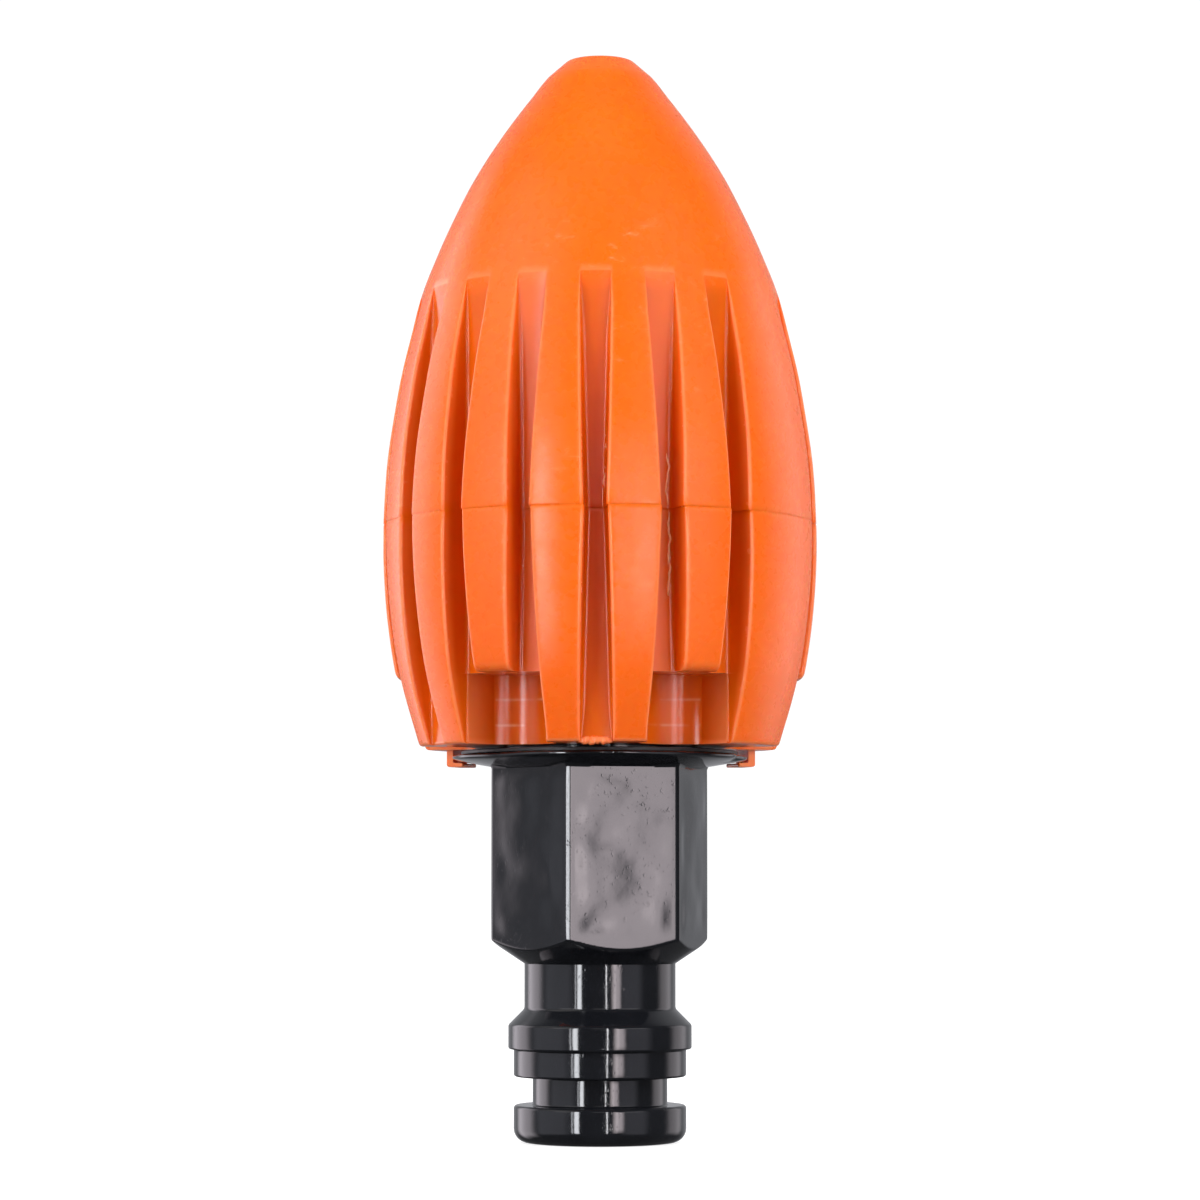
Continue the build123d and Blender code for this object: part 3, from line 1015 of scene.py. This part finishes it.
def washer_material():
    m, nt, bsdf = new_material("washer_black")
    tc = node(nt, "ShaderNodeTexCoord")
    vec = tc.outputs["Object"]
    n = tex_noise(nt, vec, 800, 4)
    base = ramp(nt, n.outputs["Fac"], [(0.3, (0.010, 0.010, 0.011)), (0.7, (0.018, 0.018, 0.019))])
    nt.links.new(base.outputs[0], bsdf.inputs["Base Color"])
    rough = ramp(nt, n.outputs["Fac"], [(0.3, (0.42, 0.42, 0.42)), (0.7, (0.55, 0.55, 0.55))])
    nt.links.new(rough.outputs[0], bsdf.inputs["Roughness"])
    bump = node(nt, "ShaderNodeBump")
    bump.inputs["Strength"].default_value = 0.15
    bump.inputs["Distance"].default_value = 0.0001
    nt.links.new(n.outputs["Fac"], bump.inputs["Height"])
    nt.links.new(bump.outputs[0], bsdf.inputs["Normal"])
    return m


ORANGE = orange_material()
BLACK = black_material()
WASHER = washer_material()


def dress(obj, material):
    obj.data.materials.clear()
    obj.data.materials.append(material)


# ----------------------------------------------------------------------------
# build the pieces
# ----------------------------------------------------------------------------
rear, rear_phis = build_rear()
closed_up(rear)
for extra, how in ((hook_solids(), "UNION"), (gate_remnant(), "UNION"),
                   (thread(flash_path(22.3, 48.9, SEAM_Z - 0.35, 0.05, 0.9), 0.10), "UNION"),
                   (jet_cutter(), "DIFFERENCE"), (duct_cutter(), "DIFFERENCE")):
    closed_up(extra)
    boolean(rear, extra, how)
nose = build_nose()
closed_up(nose)
for path, radius in ((flash_path(21.6, SEAM_Z + 0.25, 61.5, 0.03, 0.8), 0.09),
                     (flash_path(2.5, SEAM_Z + 1.2, 63.0, 0.08, 1.1), 0.12)):
    extra = thread(path, radius)
    closed_up(extra)
    boolean(nose, extra, "UNION")
tidy(rear, depth=head_depth)
tidy(nose, depth=head_depth)
stem = build_stem()
tidy(stem)
washer = build_washer()
tidy(washer)
o_ring = build_o_ring()
tidy(o_ring)

dress(rear, ORANGE)
dress(nose, ORANGE)
dress(stem, BLACK)
dress(washer, WASHER)
dress(o_ring, WASHER)

for piece, body, cad, slot in ((rear, "head", "rear_shell", "orange_shell"),
                               (nose, "head", "nose_shell", "orange_shell"),
                               (stem, "stem", "hose_stem", "black_stem"),
                               (washer, "stem", "flange_washer", "washer"),
                               (o_ring, "stem", "spigot_o_ring", "seal")):
    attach(piece, body)
    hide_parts(cad)

# ----------------------------------------------------------------------------
# camera, floor, light
# ----------------------------------------------------------------------------
scene = bpy.context.scene
cam_data = bpy.data.cameras.new("camera")
cam = bpy.data.objects.new("camera", cam_data)
scene.collection.objects.link(cam)
scene.camera = cam
cam_data.sensor_fit = "HORIZONTAL"
cam_data.sensor_width = 36.0
# 3.3 degrees upwards from low beside the object; the small shift is the photograph's framing
DIST, CAM_Z, PITCH = 350.19, 22.81, 3.313
cam_data.lens = 36.0 * 3806.9 / 1200
cam_data.shift_y = 0.06
az = math.radians(1.05)
cam.location = (DIST * MM * math.sin(az), -DIST * MM * math.cos(az), CAM_Z * MM)
aim = Vector((0, 0, (CAM_Z + DIST * math.tan(math.radians(PITCH))) * MM))
cam.rotation_euler = (aim - Vector(cam.location)).to_track_quat("-Z", "Y").to_euler()
cam_data.clip_start = 0.01
cam_data.clip_end = 20

# floor
mesh = bpy.data.meshes.new("floor")
S = 3.0
FLOOR_Z = -0.00004     # a hair below the part, so that the two faces don't fight
mesh.from_pydata([(-S, -S, FLOOR_Z), (S, -S, FLOOR_Z), (S, S, FLOOR_Z), (-S, S, FLOOR_Z)], [], [(0, 1, 2, 3)])
floor = bpy.data.objects.new("floor", mesh)
scene.collection.objects.link(floor)
fm = bpy.data.materials.new("floor_white")
fm.use_nodes = True
fnt = fm.node_tree
fnt.nodes.clear()
f_out = fnt.nodes.new("ShaderNodeOutputMaterial")
f_dif = fnt.nodes.new("ShaderNodeBsdfDiffuse")
f_dif.inputs[0].default_value = (0.42, 0.42, 0.42, 1)
f_em = fnt.nodes.new("ShaderNodeEmission")
f_em.inputs[0].default_value = (1, 1, 1, 1)
f_em.inputs[1].default_value = 0.80
f_lp = fnt.nodes.new("ShaderNodeLightPath")
f_tc = fnt.nodes.new("ShaderNodeTexCoord")
f_len = fnt.nodes.new("ShaderNodeVectorMath")
f_len.operation = "LENGTH"
fnt.links.new(f_tc.outputs["Object"], f_len.inputs[0])
# painted shade on the floor: its glow for camera rays is 0.80 near the object and rises to 1.02 far away
f_map = fnt.nodes.new("ShaderNodeMapRange")
f_map.inputs["From Min"].default_value = 0.02
f_map.inputs["From Max"].default_value = 0.35
f_map.inputs["To Min"].default_value = 0.80
f_map.inputs["To Max"].default_value = 1.02
fnt.links.new(f_len.outputs["Value"], f_map.inputs["Value"])
f_gain = fnt.nodes.new("ShaderNodeMath")
f_gain.operation = "MULTIPLY"
fnt.links.new(f_map.outputs[0], f_gain.inputs[1])
fnt.links.new(f_lp.outputs["Is Camera Ray"], f_gain.inputs[0])
fnt.links.new(f_gain.outputs[0], f_em.inputs[1])
f_add = fnt.nodes.new("ShaderNodeAddShader")
fnt.links.new(f_dif.outputs[0], f_add.inputs[0])
fnt.links.new(f_em.outputs[0], f_add.inputs[1])
fnt.links.new(f_add.outputs[0], f_out.inputs[0])
mesh.materials.append(fm)
floor.visible_glossy = False

# world: white for the camera, an even room for soft light, and a room with soft-edged
# panels for reflections, drawn as a function of azimuth and elevation (degrees)
world = bpy.data.worlds.new("studio")
scene.world = world
world.use_nodes = True
wnt = world.node_tree
wnt.nodes.clear()


def m(op, a, b=None):
    return math_node(wnt, op, a, b)


def step(src, centre, soft):
    """0 below centre, 1 above it, smooth over +-soft."""
    n = wnt.nodes.new("ShaderNodeMapRange")
    n.interpolation_type = "SMOOTHSTEP"
    n.inputs["From Min"].default_value = centre - soft
    n.inputs["From Max"].default_value = centre + soft
    wnt.links.new(src, n.inputs["Value"])
    return n.outputs[0]


def band(src, lo, hi, soft):
    return m("MULTIPLY", step(src, lo, soft), m("SUBTRACT", 1.0, step(src, hi, soft)))


w_tc = wnt.nodes.new("ShaderNodeTexCoord")
w_sep = wnt.nodes.new("ShaderNodeSeparateXYZ")
wnt.links.new(w_tc.outputs["Generated"], w_sep.inputs[0])
AZ = m("MULTIPLY", m("ARCTAN2", w_sep.outputs["X"], m("MULTIPLY", w_sep.outputs["Y"], -1.0)), 180 / PI)
EL = m("MULTIPLY", m("ARCSINE", w_sep.outputs["Z"]), 180 / PI)
ABS_AZ = m("ABSOLUTE", AZ)

PANELS = [
    # azimuth from, to, soft, elevation from, to, soft, radiance, tint
    (-92, -42, 9, -20, 20, 7, 0.62, (0.97, 0.98, 1.10)),
    (-37.2, -35.8, 0.5, -14, 18, 5, 10.0, (0.98, 1.0, 1.06)),
    (-33.2, -27.0, 1.2, -14, 18, 5, 16.0, (0.98, 1.0, 1.05)),
    (9.9, 11.1, 0.5, -14, 18, 5, 26.0, (0.99, 0.99, 1.03)),
    (18.6, 24.6, 2.0, -11, 18, 6, 5.0, (1.07, 0.95, 0.98)),
    (22.5, 32.0, 3.2, -9, 8, 5, 6.2, (1.07, 0.95, 1.0)),
    (33, 66, 8, -20, 20, 7, 0.52, (0.98, 0.97, 1.10)),
    # higher ones, which show in the grooves' floors and the upper fins
    (-62, -30, 6, 8, 20, 4, 1.3, (1.0, 0.97, 0.97)),
    (30, 62, 6, 8, 20, 4, 1.2, (1.0, 0.97, 0.97)),
    (-9, 9, 4, 8, 20, 3, 0.9, (1.0, 0.97, 0.97)),
    (104, 136, 8, -16, 26, 8, 1.2, (1.04, 0.97, 1.02)),
    (-138, -100, 9, -26, 30, 10, 2.4, (1.04, 0.96, 1.04)),
    (-100, -34, 16, 26, 54, 12, 0.75, (1.0, 0.97, 0.95)),
]
total = None
for a0, a1, asoft, e0, e1, esoft, level, tint in PANELS:
    shape = m("MULTIPLY", band(AZ, a0, a1, asoft), band(EL, e0, e1, esoft))
    comb = wnt.nodes.new("ShaderNodeCombineXYZ")
    for i in range(3):
        wnt.links.new(m("MULTIPLY", shape, level * tint[i]), comb.inputs[i])
    if total is None:
        total = comb.outputs[0]
    else:
        add = wnt.nodes.new("ShaderNodeVectorMath")
        add.operation = "ADD"
        wnt.links.new(total, add.inputs[0])
        wnt.links.new(comb.outputs[0], add.inputs[1])
        total = add.outputs[0]
# pale walls behind the object, a little light everywhere
rest = m("ADD", 0.10, m("MULTIPLY", m("MULTIPLY", step(ABS_AZ, 126, 16), step(EL, -12, 12)), 0.36))
comb = wnt.nodes.new("ShaderNodeCombineXYZ")
for i, tint in enumerate((0.98, 0.99, 1.05)):
    wnt.links.new(m("MULTIPLY", rest, tint), comb.inputs[i])
add = wnt.nodes.new("ShaderNodeVectorMath")
add.operation = "ADD"
wnt.links.new(total, add.inputs[0])
wnt.links.new(comb.outputs[0], add.inputs[1])

bg_room = wnt.nodes.new("ShaderNodeBackground")
wnt.links.new(add.outputs[0], bg_room.inputs[0])
bg_room.inputs[1].default_value = 1.0
bg_light = wnt.nodes.new("ShaderNodeBackground")
bg_light.inputs[0].default_value = (1, 1, 1, 1)
bg_light.inputs[1].default_value = 0.30
bg_cam = wnt.nodes.new("ShaderNodeBackground")
bg_cam.inputs[0].default_value = (1, 1, 1, 1)
bg_cam.inputs[1].default_value = 1.05
lp = wnt.nodes.new("ShaderNodeLightPath")
mix_a = wnt.nodes.new("ShaderNodeMixShader")
wnt.links.new(lp.outputs["Is Glossy Ray"], mix_a.inputs[0])
wnt.links.new(bg_light.outputs[0], mix_a.inputs[1])
wnt.links.new(bg_room.outputs[0], mix_a.inputs[2])
mix_b = wnt.nodes.new("ShaderNodeMixShader")
wnt.links.new(lp.outputs["Is Camera Ray"], mix_b.inputs[0])
wnt.links.new(mix_a.outputs[0], mix_b.inputs[1])
wnt.links.new(bg_cam.outputs[0], mix_b.inputs[2])
w_out = wnt.nodes.new("ShaderNodeOutputWorld")
wnt.links.new(mix_b.outputs[0], w_out.inputs[0])

CENTRE = Vector((0, 0, 0.040))


def panel(name, azimuth, dist, width, z_low, z_high, radiance, color=(1, 1, 1), tilt=True):
    """Soft light panel: azimuth in degrees from the camera's side towards +X, sizes in metres."""
    d = bpy.data.lights.new(name, "AREA")
    d.shape = "RECTANGLE"
    height = z_high - z_low
    d.size, d.size_y = width, height
    d.energy = radiance * PI * width * height
    d.color = color
    o = bpy.data.objects.new(name, d)
    scene.collection.objects.link(o)
    a = math.radians(azimuth)
    loc = Vector((dist * math.sin(a), -dist * math.cos(a), (z_low + z_high) / 2))
    o.location = loc
    target = CENTRE if tilt else Vector((0, 0, loc.z))
    o.rotation_euler = (target - loc).to_track_quat("-Z", "Y").to_euler()
    o.visible_glossy = False
    return o


# two large soft lights above and to the sides of the camera, low ones beside it, one overhead
panel("fill_left", -54, 0.80, 0.85, 0.24, 0.98, 3.8)
panel("fill_right", 54, 0.80, 0.85, 0.24, 0.98, 3.7)
panel("low_left", -48, 0.60, 0.36, -0.12, 0.20, 4.0, tilt=False)
panel("low_right", 42, 0.60, 0.36, -0.12, 0.20, 3.6, tilt=False)
panel("top", 0, 0.30, 0.60, 0.80, 1.10, 1.6)
# soft light for the back
panel("back_left", -128, 0.80, 0.50, -0.20, 0.34, 2.0, tilt=False)
panel("back_right", 128, 0.80, 0.50, -0.20, 0.34, 2.0, tilt=False)
panel("rear_fill", 180, 0.90, 0.60, 0.36, 0.85, 3.0)

scene.view_settings.view_transform = "Standard"
scene.view_settings.look = "None"

# ----------------------------------------------------------------------------
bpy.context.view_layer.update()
